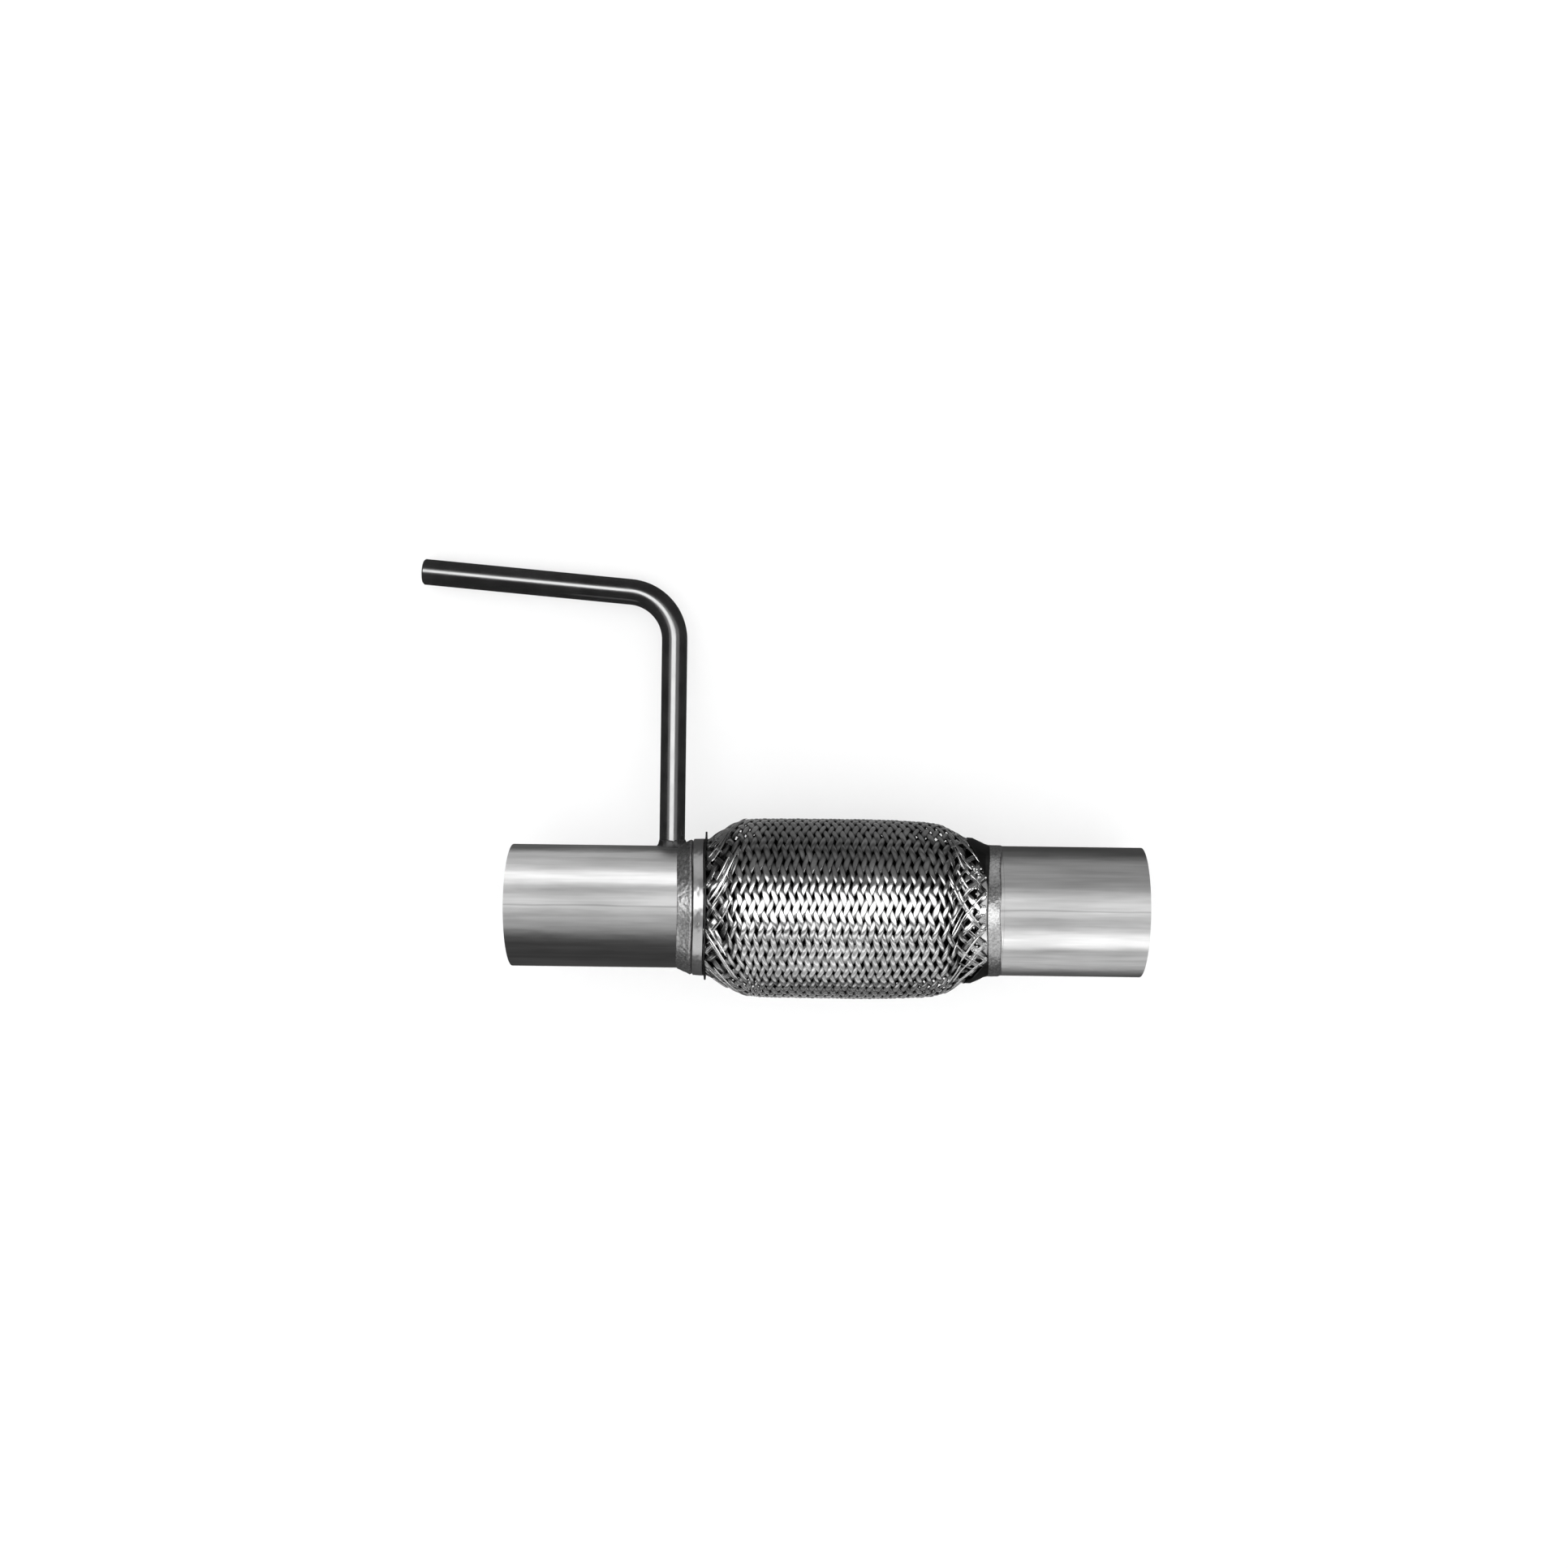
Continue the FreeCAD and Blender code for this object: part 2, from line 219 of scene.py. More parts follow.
def noise(tree, scale, stretch=EVEN, detail=3.0, rough=0.55):
    place = node(tree, "ShaderNodeTexCoord")
    mapping = node(tree, "ShaderNodeMapping")
    mapping.inputs["Scale"].default_value = stretch
    made = node(tree, "ShaderNodeTexNoise")
    made.inputs["Scale"].default_value = scale
    made.inputs["Detail"].default_value = detail
    made.inputs["Roughness"].default_value = rough
    tree.links.new(place.outputs["Object"], mapping.inputs["Vector"])
    tree.links.new(mapping.outputs["Vector"], made.inputs["Vector"])
    return made.outputs["Fac"]


def grey(tree, value):
    made = node(tree, "ShaderNodeCombineColor")
    for socket in made.inputs[:3]:
        tree.links.new(value, socket)
    return made.outputs[0]


def bump(tree, height, strength, distance):
    made = node(tree, "ShaderNodeBump")
    made.inputs["Strength"].default_value = strength
    made.inputs["Distance"].default_value = distance
    tree.links.new(height, made.inputs["Height"])
    return made.outputs["Normal"]


def seam_line(tree):
    """1 on a thin wavy line along the front of a tube, and 0 beside it."""
    place = node(tree, "ShaderNodeTexCoord")
    split = node(tree, "ShaderNodeSeparateXYZ")
    tree.links.new(place.outputs["Object"], split.inputs[0])
    across = multiply(tree, split.outputs["Y"], upward.y)
    across = math_node(tree, "ADD", across, multiply(tree, split.outputs["Z"], upward.z))
    wobble = ramp(tree, noise(tree, 18.0), MIDDLE_SPAN, (-SEAM_WOBBLE, SEAM_WOBBLE))
    off = math_node(tree, "ABSOLUTE", math_node(tree, "ADD", across, wobble), 0.0)
    line = ramp(tree, off, SEAM_EDGES, (1.0, 0.0))
    front = math_node(tree, "GREATER_THAN", split.outputs["Z"], 0.0)
    return multiply(tree, line, front)


def metal(name, tones, roughnesses, scale, stretch, bump_size, seam=False, clouds_and_painted_shade=False):
    """A metal with grain: its grey, its roughness and its surface follow one stretched noise.

    A seam brings a line along the tube, fine streaks and a slow swell of the surface. With clouds and
    painted shade, the grey varies in clouds, and the parts that lie deep in the weave are painted darker, as
    the shade between the bands. The bump size is in metres."""
    material, tree, shader = new_material(name)
    grain = noise(tree, scale, stretch, 4.0, 0.6)
    patches = noise(tree, 35.0, EVEN, 3.0, 0.5)
    tone = ramp(tree, grain, MIDDLE_SPAN, tones)
    tone = multiply(tree, tone, ramp(tree, patches, MIDDLE_SPAN, (0.93, 1.05)))
    rough = ramp(tree, grain, WIDE_SPAN, roughnesses)
    height = grain
    if clouds_and_painted_shade:
        clouds = noise(tree, 70.0, EVEN, 2.0, 0.5)
        tone = multiply(tree, tone, ramp(tree, clouds, NARROW_SPAN, (0.80, 1.08)))
        # Painted shade: the grey falls to nearly black where a point lies deep in the weave or at a band's
        # edge, as the shade between the bands
        depth = node(tree, "ShaderNodeAttribute", attribute_name="depth").outputs["Fac"]
        tone = multiply(tree, tone, ramp(tree, depth, PAINTED_SHADE_DEPTHS, (1.0, 0.05)))
    if seam:
        line = seam_line(tree)
        tone = multiply(tree, tone, ramp(tree, line, (0.0, 1.0), (1.0, 0.72)))
        streaks = noise(tree, 420.0, (0.05, 1, 1), 2.0, 0.6)
        tone = multiply(tree, tone, ramp(tree, streaks, NARROW_SPAN, (0.88, 1.08)))
        height = math_node(tree, "SUBTRACT", height, multiply(tree, line, 0.6))
    surface = bump(tree, height, 0.35, bump_size)
    if seam:
        swell = bump(tree, noise(tree, 60.0, (0.40, 1, 1), 3.0, 0.55), 1.0, SWELL_HEIGHT)
        tree.links.new(swell, surface.node.inputs["Normal"])
    tree.links.new(grey(tree, tone), shader.inputs["Base Color"])
    tree.links.new(rough, shader.inputs["Roughness"])
    tree.links.new(surface, shader.inputs["Normal"])
    shader.inputs["Metallic"].default_value = 1.0
    return material


# Name, greys, roughnesses, the noise's scale, its stretch along X, Y and Z, and the bump size
tube_steel = metal("tube_steel", (0.48, 0.66), (0.28, 0.40), 110.0, (0.10, 1, 1), 0.00006, seam=True)
cap_steel = metal("cap_steel", (0.72, 0.92), (0.24, 0.36), 120.0, (1, 0.3, 0.3), 0.00006)
# The braid wire's grey carries painted shade deep in the weave
braid_wire = metal("braid_wire", (0.58, 0.80), (0.17, 0.27), 200.0, EVEN, 0.00002, clouds_and_painted_shade=True)
dark_cap = metal("dark_cap", (0.04, 0.10), (0.28, 0.45), 150.0, EVEN, 0.00008)
# The bellows' grey is painted shade: nearly black, as the shade under the braid
bellows_steel = metal("bellows_steel", (0.02, 0.05), (0.4, 0.6), 60.0, (0.2, 1, 1), 0.00005)
liner_steel = metal("liner_steel", (0.35, 0.48), (0.28, 0.42), 80.0, (1, 0.2, 0.2), 0.00005)
weld_metal = metal("weld_metal", (0.42, 0.92), (0.28, 0.42), 1100.0, EVEN, 0.0003)
dark_weld = metal("hanger_weld", (0.06, 0.14), (0.45, 0.6), 300.0, EVEN, 0.00015)


def rod_material():
    """A glossy black oxide with a thin coat."""
    material, tree, shader = new_material("black_rod")
    grain = noise(tree, 120.0, EVEN, 3.0, 0.5)
    tone = ramp(tree, grain, MIDDLE_SPAN, (0.010, 0.018))
    tree.links.new(grey(tree, tone), shader.inputs["Base Color"])
    tree.links.new(ramp(tree, grain, MIDDLE_SPAN, (0.16, 0.24)), shader.inputs["Roughness"])
    tree.links.new(bump(tree, grain, 0.25, 0.00006), shader.inputs["Normal"])
    shader.inputs["Metallic"].default_value = 0.0
    shader.inputs["Specular IOR Level"].default_value = 0.9
    shader.inputs["Coat Weight"].default_value = 0.5
    shader.inputs["Coat Roughness"].default_value = 0.12
    return material


for name, material in (
    ("inlet_pipe", tube_steel),
    ("outlet_pipe", tube_steel),
    ("hanger_rod", rod_material()),
):
    nodes[name].data.materials.clear()
    nodes[name].data.materials.append(material)


# Braid: bands that wind both ways, one over and one under, on a surface of revolution

BANDS = 24
WIRES = 5
BAND_WIDTH = 2.42
WEAVE = 0.21  # half of the step from over to under
CROWN = 0.30  # how far a band's edges lie below its middle
THICKNESS = 0.16
VALLEY = 0.022  # how far the lines between wires lie below the wires
BRAID_ANGLE = math.radians(70.9)
CYLINDER_RADIUS = 37.5
STEEPEST_LAY = 0.96  # the largest sine of a band's angle to the axis
STEPS_PER_CROSSING = 6
SPACING = FULL_TURN / BANDS
BRAID_START, BRAID_END, BRAID_MIDDLE = 76.5, 197.2, 130
SAMPLE = 0.1
SMOOTHING = 8  # samples each way

# The surface as (station, radius) points
braid_shape = np.array([
    (76.5, 27.7), (79.5, 27.7), (80.6, 28.2), (82.0, 29.1), (83.5, 30.0), (85.0, 30.7),
    (86.5, 31.5), (88.0, 32.4), (89.5, 33.4), (91.5, 34.7), (94.0, 35.9), (97.0, 36.8),
    (99.0, 37.1), (103.0, 37.3), (107.5, 37.4), (125.0, 37.5), (141.0, 37.55), (150.0, 37.5),
    (158.0, 37.3), (166.5, 36.9), (171.0, 36.65), (175.0, 36.2), (178.0, 35.5), (180.5, 34.4),
    (183.5, 32.5), (185.3, 31.2), (186.6, 30.4), (189.5, 29.5), (193.0, 28.6), (197.2, 27.9),
])

# The same surface in fine samples: its radius, its slope, the length along it, the lay of a band on it
# and the turn through which a band has wound
dense_x = np.arange(BRAID_START, BRAID_END, SAMPLE)
dense_r = np.interp(dense_x, braid_shape[:, 0], braid_shape[:, 1])
window = np.hanning(2 * SMOOTHING + 1)
padded = np.concatenate([np.full(SMOOTHING, dense_r[0]), dense_r, np.full(SMOOTHING, dense_r[-1])])
dense_r = np.convolve(padded, window / window.sum(), "valid")
slope = np.gradient(dense_r, dense_x)
dense_run = np.concatenate([[0], np.cumsum(np.hypot(np.diff(dense_x), np.diff(dense_r)))])
lay_sine = np.clip(dense_r / CYLINDER_RADIUS * math.sin(BRAID_ANGLE), 0, STEEPEST_LAY)
dense_lay = np.arcsin(lay_sine)
rate = np.tan(dense_lay) / dense_r
dense_wind = np.concatenate([[0], np.cumsum((rate[1:] + rate[:-1]) / 2 * np.diff(dense_run))])

# The outlet cap's tabs reach back over the braid, which dips by the tuck under them
TAB_ROOT, TAB_LENGTH = 197.2, 8.6
TUCK = 1.1


def bow(x, turn):
    """How far points shift along the pipe. The rings and the braid's ends draw in at the front and back, and
    the braid's inlet shoulder does so below."""
    inlet = 1.9 * (1 - smooth(x, 74, 98)) * smooth(x, 62, 70)
    outlet = 2.2 * smooth(x, 174, 196)
    shoulder = 2.6 * smooth(-np.sin(turn), 0.4, 1.0) * np.exp(-(((x - 95.5) / 6) ** 2))
    return (inlet - outlet) * np.cos(turn) ** 2 + shoulder


def outlet_tab_edge(turn):
    """Where the outlet cap's open edge lies: short at the front and back, long at the top and bottom."""
    side = np.degrees(np.arcsin(np.clip(np.sin(turn), -1, 1)))
    return TAB_ROOT - TAB_LENGTH * (smooth(side, 20, 72) + smooth(-side, 44, 80))


def tucked(x, turn):
    """How far the braid dips where the outlet cap covers it."""
    return TUCK * smooth(x - outlet_tab_edge(turn), -0.6, 0.8)


def band(index, way, seed):
    """One band as a closed ribbon with wire ridges on its outer side.

    Gives its points, section by section, and how deep each lies below the weave's outside. Way is 1 for a
    right-wound band and -1 for a left-wound one."""
    rng = np.random.default_rng(seed)
    steps = int(dense_wind[-1] / (SPACING / 2) * STEPS_PER_CROSSING)
    wind = np.linspace(0, dense_wind[-1], steps)
    run = np.interp(wind, dense_wind, dense_run)
    lay = np.interp(run, dense_run, dense_lay)
    x_centre = np.interp(run, dense_run, dense_x)
    inlet_end = 1 - smooth(x_centre, 82, 94)
    loose = inlet_end + 0.9 * smooth(x_centre, 179, 189)

    def drift(*parts):
        """A slow random wave along the band, from parts of (size, rate)."""
        total = np.zeros(steps)
        for size, rate_of in parts:
            total += size * np.sin(rate_of * run * rng.uniform(0.7, 1.3) + rng.uniform(0, FULL_TURN))
        return total

    # The band's middle line and width, and how it lifts and rolls. All of them vary more where it is loose.
    wander = drift((0.10, 0.05), (0.09, 0.13), (0.08, 0.5)) + rng.normal(0, 0.06)
    wander = wander * (1 + 3 * loose) + loose * rng.normal(0, 0.45)
    width = BAND_WIDTH * (1 + rng.normal(0, 0.03) + drift((0.07, 0.21), (0.08, 0.8)))
    width = width * (1 + 0.55 * inlet_end + 0.12 * smooth(x_centre, 178, 190))
    lift = drift((0.04, 0.3), (0.03, 0.9)) * (1 + 3 * loose)
    roll = drift((0.05, 0.5), (0.06, 1.1)) * (1 + 2 * loose)

    # The section: wires and the valleys between them, then three points of the underside
    count = 2 * WIRES + 1
    across = np.linspace(-1, 1, count)
    valley = np.arange(count) % 2 == 0
    height = -CROWN * across[None, :] ** 2 + roll[:, None] * across[None, :]
    height = height - valley[None, :] * (VALLEY + 0.30 * loose[:, None])
    for wire in np.flatnonzero(~valley):
        height[:, wire] += loose * (0.12 * rng.normal() + drift((0.16, 0.35), (0.12, 0.8)))
    under = np.full((steps, 1), -THICKNESS)
    across = np.concatenate([across, [0.96, 0.0, -0.96]])
    height = np.concatenate([height, under - CROWN, under, under - CROWN], 1)

    # Its place on the surface
    offset = across[None, :] * (width / 2)[:, None] + wander[:, None]
    run_at = run[:, None] - way * np.sin(lay)[:, None] * offset
    radius = np.interp(run_at, dense_run, dense_r)
    x = np.interp(run_at, dense_run, dense_x)
    tilt = np.arctan(np.interp(run_at, dense_run, slope))
    turn = index * SPACING + way * wind[:, None] + np.cos(lay)[:, None] * offset / radius

    # Over and under: the phase counts the bands that it crosses
    winding = np.interp(run_at, dense_run, dense_wind)
    phase = (turn + way * winding - index * SPACING) * way / SPACING
    swing = np.tanh(0.9 * np.cos(math.pi * phase)) / math.tanh(0.9) * way
    neck = 0.55 + 0.45 * smooth(x_centre, 80, 86) * (1 - smooth(x_centre, 186, 191))
    depth = WEAVE * (1 - swing) * neck[:, None] - height - lift[:, None]
    radius = radius - depth * np.cos(tilt) - tucked(x, turn)
    x = x + depth * np.sin(tilt)
    return at(x + bow(x, turn), radius, turn), depth


def braid_mesh(name, grids, flip=False):
    """One piece of the braid from grids of points in metres, each closed across its columns."""
    points, faces, start = [], [], 0
    for grid in grids:
        rows, columns = grid.shape[:2]
        quads = grid_faces(rows, columns, False, True)
        if flip:
            quads = quads[:, ::-1]
        points.append(grid.reshape(-1, 3))
        faces.append(quads + start)
        start += rows * columns
    points, faces = np.concatenate(points), np.concatenate(faces)
    return make_mesh(name, points, faces, braid_wire, ("braid_sleeve",))


def braid_pieces():
    """Every second band of each way is one piece, so there are four."""
    for part in range(4):
        way = 1 if part < 2 else -1
        bands = [band(index, way, 100 + index + 50 * part) for index in range(part % 2, BANDS, 2)]
        name = "braid_" + ("right" if way > 0 else "left") + "_wound_" + str(part % 2 + 1)
        piece = braid_mesh(name, [grid for grid, _ in bands], flip=way > 0)
        depths = np.concatenate([depth.ravel() for _, depth in bands])
        # The depth below the weave's outside, which the braid's painted shade reads
        attribute = piece.data.attributes.new("depth", "FLOAT", "POINT")
        attribute.data.foreach_set("value", depths.astype(np.float32))


braid_pieces()


# Loose wires on the braid's shoulders, and the blobs where its wires end against the outlet ring

WIRE_ROWS, WIRE_SIDES = 18, 6


def unit(vectors):
    return vectors / np.linalg.norm(vectors, axis=1)[:, None]


def tube_along(path, thick):
    """A flattened tube round a path of points in metres, thin at both ends."""
    along = unit(np.gradient(path, axis=0))
    aside = unit(np.cross(along, unit(path * np.array([0, 1, 1]))))
    outward = np.cross(aside, along)
    turn = round_turns(WIRE_SIDES)[None, :, None]
    share = np.linspace(0, 1, len(path))
    size = thick * (0.15 + 0.85 * smooth(share, 0, 0.12) * (1 - smooth(share, 0.88, 1)))
    ring = aside[:, None, :] * np.cos(turn) + outward[:, None, :] * np.sin(turn) * 0.6
    return path[:, None, :] + ring * size[:, None, None] * MM


def loose_wires(name, seed, count, stations, lengths):
    """Wires that start within the stations and lie on the braid. Most run the same way on each side."""
    rng = np.random.default_rng(seed)
    at_inlet = stations[0] < BRAID_MIDDLE
    grids = []
    for _ in range(count):
        turn_start = rng.uniform(-math.pi, math.pi)
        run_start = np.interp(rng.uniform(*stations), dense_x, dense_run)
        run = run_start + np.linspace(0, rng.uniform(*lengths), WIRE_ROWS)
        wind = np.interp(run, dense_run, dense_wind)
        upper = math.sin(turn_start) > 0
        way = 1 if upper == at_inlet else -1
        if rng.uniform() < 0.22:
            way = -way
        radius = np.interp(run, dense_run, dense_r) + 0.05 + rng.uniform(0, 0.22)
        radius = radius + 0.12 * np.sin(np.linspace(0, rng.uniform(2, 7), WIRE_ROWS) + rng.uniform(0, 6))
        turn = turn_start + way * (wind - wind[0]) * rng.uniform(0.82, 1.1)
        x = np.interp(run, dense_run, dense_x)
        radius = radius - tucked(x, turn)
        grids.append(tube_along(at(x + bow(x, turn), radius, turn), rng.uniform(0.30, 0.60)))
    braid_mesh(name, grids)


loose_wires("braid_loose_inlet", 41, 52, (80.6, 86.0), (6.0, 15.0))
loose_wires("braid_loose_outlet", 42, 80, (179.0, 188.0), (6.0, 11.0))


def wire_ends():
    """Small flattened balls at the front and back, next to the outlet ring."""
    rng = np.random.default_rng(43)
    count, rows, columns, pole = 90, 7, 10, 0.05
    polar = np.linspace(pole, math.pi - pole, rows)[:, None]
    round_turn = round_turns(columns)[None, :]
    grids = []
    for _ in range(count):
        turn = rng.uniform(-0.75, 0.75) + (math.pi if rng.uniform() < 0.5 else 0)
        x = rng.uniform(189.5, 196.4)
        size = rng.uniform(0.4, 0.7)
        radius = np.interp(x, dense_x, dense_r) + 0.35 - 1.5 * tucked(x, turn)
        xs = x + bow(x, turn) + size * 0.9 * np.sin(polar) * np.cos(round_turn)
        sideways = size * 1.1 * np.sin(polar) * np.sin(round_turn)
        grids.append(at(xs, radius + size * 0.8 * np.cos(polar), turn + sideways / radius))
    braid_mesh("braid_wire_ends", grids)


wire_ends()


# Bellows: round folds under the braid, seen only through its gaps. Their near-black grey is painted shade,
# the dark under the braid.

def bellows():
    root, crest, wall = 28.9, 35.3, 0.4
    start, end, folds, points_per_fold = 101.45, 167.95, 9, 16
    x = np.linspace(start, end, folds * points_per_fold + 1)
    swing = np.cos((x - start) / (end - start) * folds * 2 * math.pi)
    middle = (root + crest) / 2 - (crest - root) / 2 * swing
    inlet_neck = [(76.0, 25.85), (86.6, 25.85), (94.0, 27.3)]
    outlet_neck = [(176.0, 28.2), (186.0, 27.15), (191.0, 27.15)]
    inside = inlet_neck + list(zip(x, middle)) + outlet_neck
    outside = [(station, radius + wall) for station, radius in reversed(inside)]
    turned("bellows_folds", inside + outside,
           72, bellows_steel, ("bellows",), step=0.9, passes=0)


bellows()


# Liner: a strip wound in a helix, each turn lapped over the next

def liner():
    start, end, pitch = 86.65, 185.55, 7.6
    sides, count = 108, 216
    wall = 0.33
    x = np.linspace(76.0, 191.0, count)[None, :]
    turn = round_turns(sides)[:, None]
    phase = (x - start) / pitch - turn / FULL_TURN
    saw = phase - np.floor(phase)
    body = smooth(x, start, start + 2) * (1 - smooth(x, end - 2, end))
    base = np.interp(x, [76.0, 86.8, 178.0, 185.4, 191.0], [25.45, 25.45, 25.5, 26.78, 26.78])
    lap = 0.95 * smooth(saw, 0.0, 0.08) * (1 - saw) + 0.35 * np.exp(-(((saw - 0.55) / 0.06) ** 2))
    inner = base + body * lap
    outer = np.broadcast_to(base, inner.shape) + wall + body
    radius = np.concatenate([inner, outer[:, ::-1]], 1)
    xs = np.concatenate([np.broadcast_to(x, inner.shape), np.broadcast_to(x[:, ::-1], inner.shape)], 1)
    faces = grid_faces(sides, 2 * count, True, True)
    make_mesh("liner_strip", at(xs, radius, turn), faces, liner_steel, ("interlock_liner",))


liner()


# Caps and welds. A ring has an outline of (station, radius) points and a shape function for its lumps.

ripple = waves(7, 60, 70, 3.0)
lumps = waves(8, 30, 24, 1.0)
dents = waves(9, 14, 9, 0.5)
grit = waves(10, 120, 150, 6.0)

# A dark oval dent and a small mark above it: turn, station, half width round the ring, half length and depth
COLLAR_MARKS = ((-0.19, 77.4, 0.09, 0.7, 0.35), (0.23, 77.2, 0.06, 0.5, 0.22))


def inlet_collar_shape(x, radius, turn):
    outside = smooth(radius, 27.0, 28.2)
    radius = radius + outside * (0.10 * dents(turn, x) + 0.03 * ripple(turn, x))
    from_front = (turn + math.pi) % FULL_TURN - math.pi
    for centre_turn, centre_x, wide, long, deep in COLLAR_MARKS:
        hit = np.exp(-((from_front - centre_turn) / wide) ** 2 - ((x - centre_x) / long) ** 2)
        radius = radius - deep * hit * outside
    return x + bow(x, turn), radius


turned("inlet_collar", [(75.1, 25.6), (75.1, 28.3), (79.4, 28.55), (79.6, 27.9), (76.1, 27.8), (76.1, 25.6)],
       288, cap_steel, ("inlet_cap",), step=0.25, passes=1, shape=inlet_collar_shape)


def inlet_lip_shape(x, radius, turn):
    """A thin lip with a small spike at the top and a smaller one at the bottom."""
    outside = smooth(radius, 28.4, 28.9)
    spikes = 2.5 * np.exp(-(((turn - math.pi / 2) / 0.022) ** 2))
    spikes = spikes + 1.4 * np.exp(-(((turn - 1.5 * math.pi) / 0.03) ** 2))
    return x + 0.1 * dents(turn, 3.0) + bow(x, turn), radius + outside * (spikes + 0.12 * lumps(turn, 1.0))


turned("inlet_lip", [(79.7, 27.9), (79.7, 29.0), (80.5, 29.0), (80.5, 27.9)],
       360, dark_cap, (), step=0.2, passes=1, shape=inlet_lip_shape)


def inlet_bead_shape(x, radius, turn):
    outside = smooth(radius, 25.45, 25.9)
    rough = 0.05 * lumps(turn, x) + 0.04 * ripple(turn, x) + 0.03 * grit(turn, x)
    toe = (1 - smooth(x, 69.5, 73.0)) * 0.35 * dents(turn, 1.0)
    return x + toe * outside + bow(x, turn), radius + outside * rough


turned("inlet_bead",
       [(68.3, 25.42), (70.3, 26.35), (72.5, 27.35), (74.0, 28.15), (74.7, 27.6), (74.9, 25.42)],
       432, weld_metal, ("inlet_weld",), step=0.28, passes=2, shape=inlet_bead_shape)


def outlet_collar():
    """A collar that tapers down to the tube. Its open edge reaches back over the braid in two dark tabs."""
    sides, count = 360, 26
    root, wall, smallest = 197.7, 0.55, 26.75
    turn = round_turns(sides)[:, None]
    share = np.linspace(0, 1, count)[None, :]
    edge = outlet_tab_edge(turn) + 0.15 * dents(turn, 5.0)
    x = edge + (root - edge) * share
    outer = np.interp(x, [188.0, 190.8, 196.0, root], [30.35, 30.3, 27.75, 27.35]) + 0.08 * lumps(turn, x)
    inner = np.maximum(outer - wall, smallest)
    x = x + bow(x, turn)
    xs = np.concatenate([x, x[:, ::-1]], 1)
    radius = np.concatenate([outer, inner[:, ::-1]], 1)
    faces = grid_faces(sides, 2 * count, True, True)[:, ::-1]
    make_mesh("outlet_collar", at(xs, radius, turn), faces, dark_cap, ("outlet_cap",))


outlet_collar()


def outlet_bead_shape(x, radius, turn):
    outside = smooth(radius, 27.0, 27.25)
    rough = 0.04 * lumps(turn, x) + 0.02 * ripple(turn, x) + 0.02 * grit(turn, x)
    edge = smooth(x, 200.5, 202.5) * 0.35 * dents(turn, 2.0)
    return x + edge + bow(x, turn), radius + outside * rough


turned("outlet_bead",
       [(197.6, 26.85), (197.6, 27.4), (200.0, 27.35), (202.2, 27.35), (202.9, 27.05), (202.9, 26.85)],
       432, weld_metal, ("outlet_weld",), step=0.25, passes=1, shape=outlet_bead_shape)


def hanger_fillet():
    """The weld round the rod's foot: a lumpy fillet from the rod's side down onto the round tube."""
    rod_station, rod_radius, tube_radius = 65.8, 5.32, 25.4
    rows, sides = 14, 120
    share = np.linspace(0, 1, rows)[:, None]
    turn = round_turns(sides)[None, :]
    bumps = 0.18 * np.sin(7 * turn + 1) + 0.12 * np.sin(17 * turn + 5 * share)
    bumps = bumps + 0.08 * np.sin(31 * turn - 9 * share)
    spread = 1.1 + 2.1 * (0.5 + 0.5 * np.cos(turn)) ** 1.5 + 0.5 * np.sin(turn) ** 2
    away = rod_radius + spread * share + bumps * share * 0.6
    height = (2.6 + bumps) * (1 - share) ** 2.2

    # The fillet's outer edge and its inner one, which closes it, lie just under the tube's surface
    away = np.concatenate([away, np.full((1, sides), rod_radius)])
    height = np.concatenate([height, np.full((1, sides), -0.4)])
    height[rows - 1] = -0.1
    across = away * np.sin(turn)
    height = height + np.sqrt(tube_radius**2 - across**2)
    x = rod_station + away * np.cos(turn)
    y = across * facing.y + height * upward.y
    z = across * facing.z + height * upward.z
    faces = grid_faces(rows + 1, sides, True, True)[:, ::-1]
    points = np.stack([x, y, z], -1) * MM
    make_mesh("hanger_fillet", points, faces, dark_weld, ("hanger_weld",))


hanger_fillet()


# Floor, in metres: a pale dish whose rim rises far away, so every side view has the same plain background

FLOOR_X, FLOOR_Y, FLOOR_Z = 0.11, 0.04, -0.0377
FLOOR_PROFILE = [
    (0.0, 0.0), (0.5, 0.0), (1.5, 0.0), (2.6, 0.0), (3.2, 0.12),
    (3.6, 0.45), (3.85, 1.0), (3.95, 1.8), (4.0, 3.0),
]


def floor():
    sides = 96
    angles = [FULL_TURN * side / sides for side in range(sides)]
    points = [
        (FLOOR_X + radius * math.cos(angle), FLOOR_Y + radius * math.sin(angle), FLOOR_Z + height)
        for radius, height in FLOOR_PROFILE
        for angle in angles
    ]
    mesh = bpy.data.meshes.new("floor")
    mesh.from_pydata(points, [], grid_faces(len(FLOOR_PROFILE), sides, False, True).tolist())
    for polygon in mesh.polygons:
        polygon.use_smooth = True
    mesh.update()
    obj = bpy.data.objects.new("floor", mesh)
    bpy.context.scene.collection.objects.link(obj)
    material, _, shader = new_material("pale_floor")
    shader.inputs["Base Color"].default_value = (0.93, 0.93, 0.93, 1)
    shader.inputs["Roughness"].default_value = 0.9
    shader.inputs["Specular IOR Level"].default_value = 0.1
    mesh.materials.append(material)
    obj.visible_glossy = False
    obj.visible_shadow = False


floor()

# Lights, in metres and degrees. Each is set by the angle of its direction from facing towards upward, seen
# from the pipe's axis. The photograph joins parts that were lit apart, so each light reaches only the pieces
# whose names start as its row says.

world = bpy.data.worlds.new("studio")
bpy.context.scene.world = world
world.use_nodes = True
world.node_tree.nodes["Background"].inputs["Color"].default_value = (1, 1, 1, 1)
world.node_tree.nodes["Background"].inputs["Strength"].default_value = 0.065


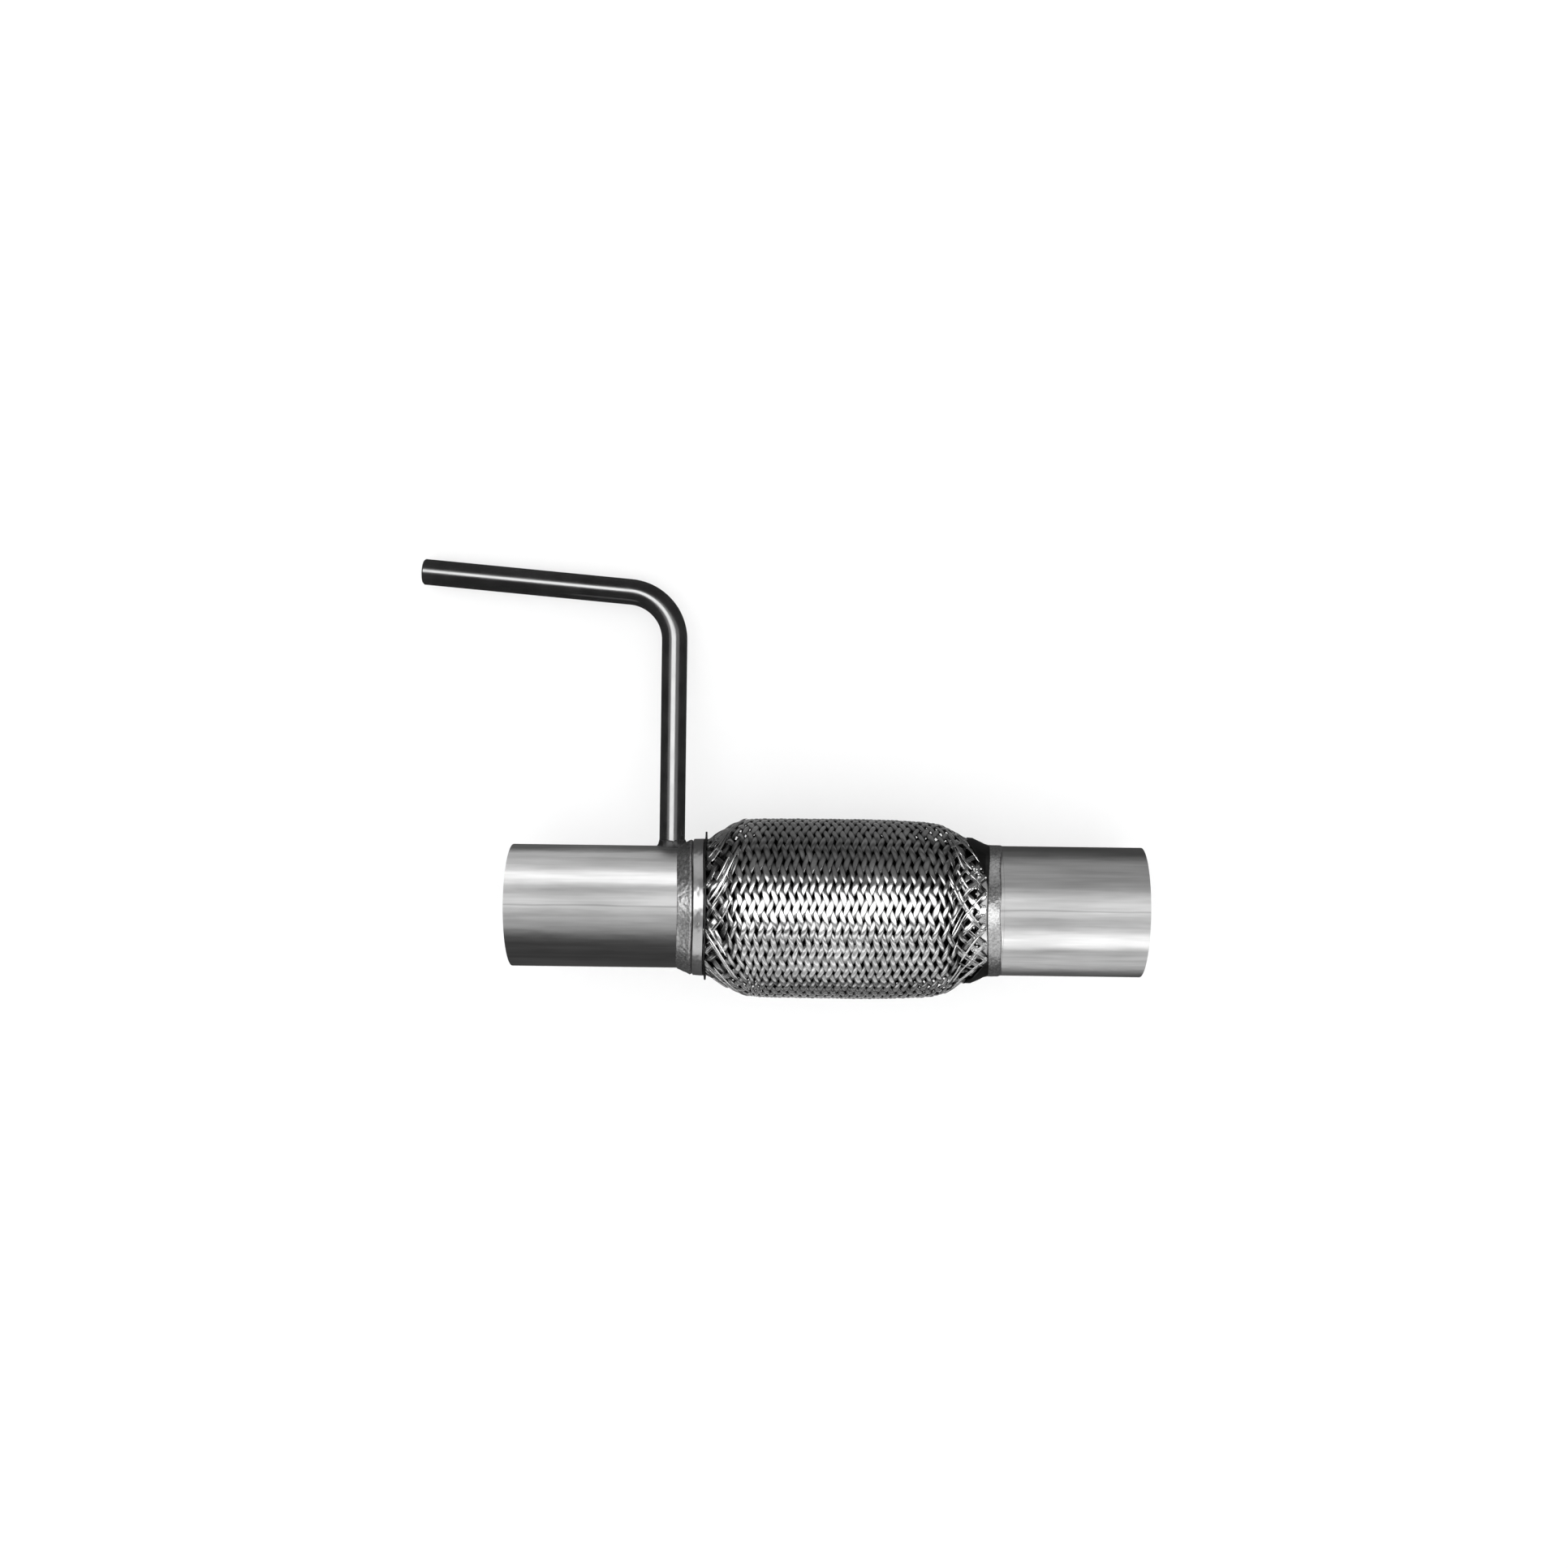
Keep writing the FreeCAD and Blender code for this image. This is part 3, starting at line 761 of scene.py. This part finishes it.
def area(name, x, angle, distance, wide, deep, radiance, only, aside=0.0, along=0.0, shadow=True):
    """A rectangular light that looks at the axis at station x. Aside moves it along upward, and along leans
    its direction from square to the axis towards the outlet."""
    light = bpy.data.lights.new(name, "AREA")
    light.shape = "RECTANGLE"
    light.size, light.size_y = wide, deep
    light.energy = radiance * math.pi * wide * deep
    light.use_shadow = shadow
    obj = bpy.data.objects.new(name, light)
    turn, lean = math.radians(angle), math.radians(along)
    towards = facing * math.cos(turn) + upward * math.sin(turn)
    side = Vector((math.cos(lean), 0, 0)) - towards * math.sin(lean)
    towards = Vector((math.sin(lean), 0, 0)) + towards * math.cos(lean)
    obj.matrix_world = Matrix((side, towards.cross(side), towards)).transposed().to_4x4()
    obj.matrix_world.translation = Vector((x, 0, 0)) + upward * aside + towards * distance
    obj.visible_camera = False
    bpy.context.scene.collection.objects.link(obj)
    receivers = bpy.data.collections.new(name + "_receivers")
    for piece in bpy.data.objects:
        if piece.type == "MESH" and piece.name.startswith(only):
            receivers.objects.link(piece)
    obj.light_linking.receiver_collection = receivers


MIDDLE = 0.13
TUBES = ("inlet_pipe", "outlet_pipe", "liner")
INLET_TUBE = ("inlet_pipe", "hanger_fillet")
OUTLET_TUBE = ("outlet_pipe",)
BRAID = ("braid",)
INLET_END = ("inlet_bead", "inlet_collar", "inlet_lip")
OUTLET_END = ("outlet_bead", "outlet_collar")

# Name, station, angle, distance, length along the pipe, width across it, radiance and the pieces it reaches
for row in (
    ("overhead", MIDDLE, 7, 2.0, 4.0, 1.5, 1.15, TUBES + ("hanger",)),
    ("left_key", -0.25, 54, 1.5, 1.6, 0.72, 2.2, INLET_TUBE),
    ("left_rim", -0.25, 100, 1.5, 2.0, 1.2, 0.8, INLET_TUBE),
    ("left_low", -0.25, -34, 1.5, 1.6, 0.9, 0.55, INLET_TUBE),
    ("right_key", 0.50, -54, 1.5, 1.6, 0.72, 2.2, OUTLET_TUBE),
    ("right_rim", 0.50, -100, 1.5, 2.0, 1.2, 0.8, OUTLET_TUBE),
    ("right_mid", 0.50, -27, 1.5, 1.6, 0.72, 0.55, OUTLET_TUBE),
    ("right_low", 0.50, 62, 1.5, 1.6, 2.7, 0.38, OUTLET_TUBE),
    ("braid_top", MIDDLE, 2, 2.0, 6.5, 1.6, 2.8, BRAID),
    ("braid_fill", MIDDLE, -72, 2.0, 5.0, 2.6, 0.40, BRAID),
    ("braid_fleck", MIDDLE, -40, 2.0, 4.0, 0.28, 1.7, BRAID),
    ("braid_fleck", MIDDLE, -70, 2.0, 4.0, 0.28, 1.5, BRAID),
    ("braid_fleck", MIDDLE, -102, 2.0, 4.0, 0.28, 0.85, BRAID),
    ("braid_fleck", MIDDLE, -130, 2.0, 4.0, 0.28, 0.4, BRAID),
    ("braid_haze", MIDDLE, 58, 2.0, 4.0, 1.3, 0.09, BRAID),
    ("braid_back", MIDDLE, 122, 2.0, 2.6, 2.0, 0.11, BRAID),
    ("braid_rim_high", MIDDLE, 160, 1.2, 2.2, 0.6, 0.22, BRAID),
    ("braid_rim_low", MIDDLE, -160, 1.2, 2.2, 0.6, 0.48, BRAID),
    ("inlet_top", MIDDLE, 9, 2.0, 6.0, 1.2, 1.8, INLET_END),
    ("outlet_top", MIDDLE, -7, 2.0, 6.0, 1.0, 2.0, OUTLET_END),
    ("end_fill", MIDDLE, -60, 2.0, 5.0, 2.2, 0.6, INLET_END + OUTLET_END),
    ("end_back", MIDDLE, 75, 2.0, 2.2, 2.0, 0.35, INLET_END + OUTLET_END),
):
    area(*row)
area("inlet_side", 0.0, 25, 1.5, 1.6, 1.6, 0.9, TUBES, along=-70)
area("outlet_side", 0.26, -25, 1.5, 1.6, 1.6, 0.9, TUBES, along=70)
area("rod_strip", 0.0, 0, 1.0, 0.70, 0.36, 8.6, ("hanger_rod",), aside=0.175)
area("floor_wash", 0.1, -10, 2.5, 5.0, 5.0, 1.66, ("floor",), shadow=False)
area("floor_shade", 0.1, -10, 2.5, 5.0, 5.0, 0.30, ("floor",))

# Camera: square to the rod's plane, turned a little about its own direction. Distances are in metres.

CAMERA_STATION, CAMERA_DISTANCE = 0.1307, 0.752
CAMERA_ROLL = math.radians(0.72)

camera_data = bpy.data.cameras.new("camera")
camera_data.lens = 41.4
camera_data.sensor_width = 36.0
camera_data.shift_x = -0.0274
camera_data.shift_y = 0.0795
camera_data.clip_start = 0.01
camera_data.clip_end = 50
camera = bpy.data.objects.new("camera", camera_data)
bpy.context.scene.collection.objects.link(camera)
right = Vector((1, 0, 0)) * math.cos(CAMERA_ROLL) + upward * math.sin(CAMERA_ROLL)
top = Vector((-1, 0, 0)) * math.sin(CAMERA_ROLL) + upward * math.cos(CAMERA_ROLL)
camera.matrix_world = Matrix((right, top, facing)).transposed().to_4x4()
camera.matrix_world.translation = Vector((CAMERA_STATION, 0, 0)) + facing * CAMERA_DISTANCE
bpy.context.scene.camera = camera
bpy.context.scene.view_settings.view_transform = "Standard"
